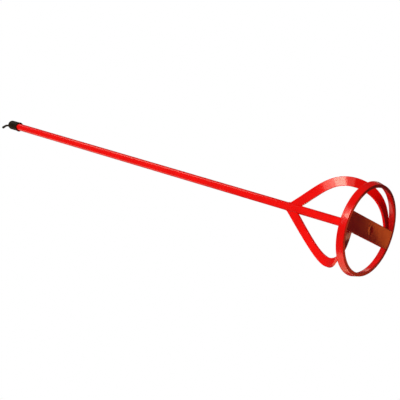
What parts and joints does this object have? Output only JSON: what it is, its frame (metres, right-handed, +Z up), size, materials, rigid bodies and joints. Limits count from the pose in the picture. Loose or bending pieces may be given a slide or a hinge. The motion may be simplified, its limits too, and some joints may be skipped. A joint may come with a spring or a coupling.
{
  "type": "drill paint mixer",
  "caption": "Welded steel paint stirrer for a drill: long round shaft, two twisted flat-bar blades and a cross strap inside a ring band, with a soft pull-off cap over its hexagonal drive end.",
  "frame": {"origin": "centre of the ring band's lower face, which is the face the mixer stands on and the end that goes down into the paint", "axes": "+Z up along the shaft towards the drive end; +X along the cross strap; +Y completes a right-handed frame, and the cap's tail hooks towards +Y"},
  "size_m": [0.1038, 0.1038, 0.6138],
  "materials": {
    "red_paint": "gloss",
    "red_paint_on_weld": "gloss",
    "bare_steel": "satin",
    "black_vinyl": "satin"
  },
  "bodies": {
    "mixer": {"ring_band": "red_paint", "cross_strap": "red_paint", "shaft": "red_paint", "blade_a": "red_paint", "blade_b": "red_paint", "shaft_foot_weld": "red_paint_on_weld", "plug_weld": "red_paint_on_weld", "blade_a_top_weld": "red_paint_on_weld", "blade_b_top_weld": "red_paint_on_weld", "blade_a_foot_weld": "red_paint_on_weld", "blade_b_foot_weld": "red_paint_on_weld", "strap_end_weld_a": "red_paint_on_weld", "strap_end_weld_b": "red_paint_on_weld", "drive_shank": "bare_steel"},
    "cap": {"end_cap": "black_vinyl"}
  },
  "joints": [
    {"name": "cap_pull", "type": "slide", "parent": "mixer", "child": "cap", "axis": [0, 0, 1], "range_m": [0, 0.035]}
  ]
}
